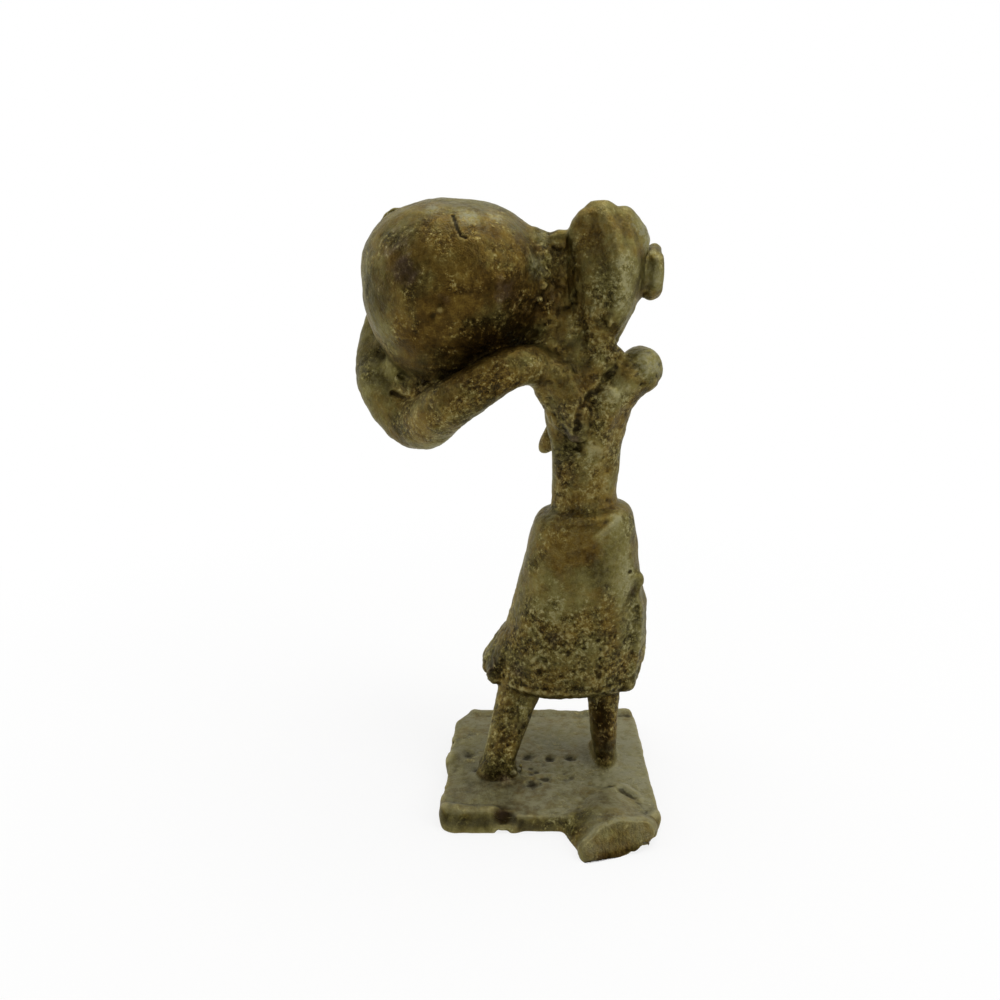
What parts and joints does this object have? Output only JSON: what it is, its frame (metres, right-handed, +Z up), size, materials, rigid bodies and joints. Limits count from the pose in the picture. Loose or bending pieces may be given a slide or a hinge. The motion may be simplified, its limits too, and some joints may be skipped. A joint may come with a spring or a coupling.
{
  "type": "akan gold weight",
  "caption": "Cast brass figure in a wrapped skirt, carrying a large gourd on one arm and standing on a rectangular base plate; a counterweight for weighing gold dust.",
  "frame": {"origin": "middle of the base plate's underside", "axes": "+Z up, +Y the way the figure faces, +X towards the figure's own right hand"},
  "size_m": [0.0332, 0.0326, 0.0627],
  "materials": {
    "figure_brass": "dark olive-brown patina, pitted, worn golden on high spots",
    "worn_brass": "patina rubbed thinner on edges and ridges",
    "plate_brass": "smoother grey-olive patina",
    "cut_brass": "filed and sawn face, paler than the rest"
  },
  "bodies": {
    "root": {"base_plate": "plate_brass", "sprue_stub": "cut_brass", "left_foot": "figure_brass", "right_foot": "figure_brass", "left_leg": "figure_brass", "right_leg": "figure_brass", "skirt": "figure_brass", "skirt_flap": "figure_brass", "skirt_fold": "figure_brass", "trunk": "figure_brass", "left_breast": "figure_brass", "right_breast": "figure_brass", "left_shoulder": "figure_brass", "left_upper_arm": "figure_brass", "left_forearm": "figure_brass", "left_hand": "figure_brass", "right_shoulder": "figure_brass", "right_upper_arm": "figure_brass", "right_forearm": "figure_brass", "right_hand": "figure_brass", "neck": "figure_brass", "head": "figure_brass", "hair_crest": "worn_brass", "right_ear": "worn_brass", "nose": "figure_brass", "eyes": "figure_brass", "mouth": "figure_brass", "gourd": "figure_brass", "join_lute": "figure_brass", "stalk_scar": "worn_brass"}
  },
  "joints": []
}
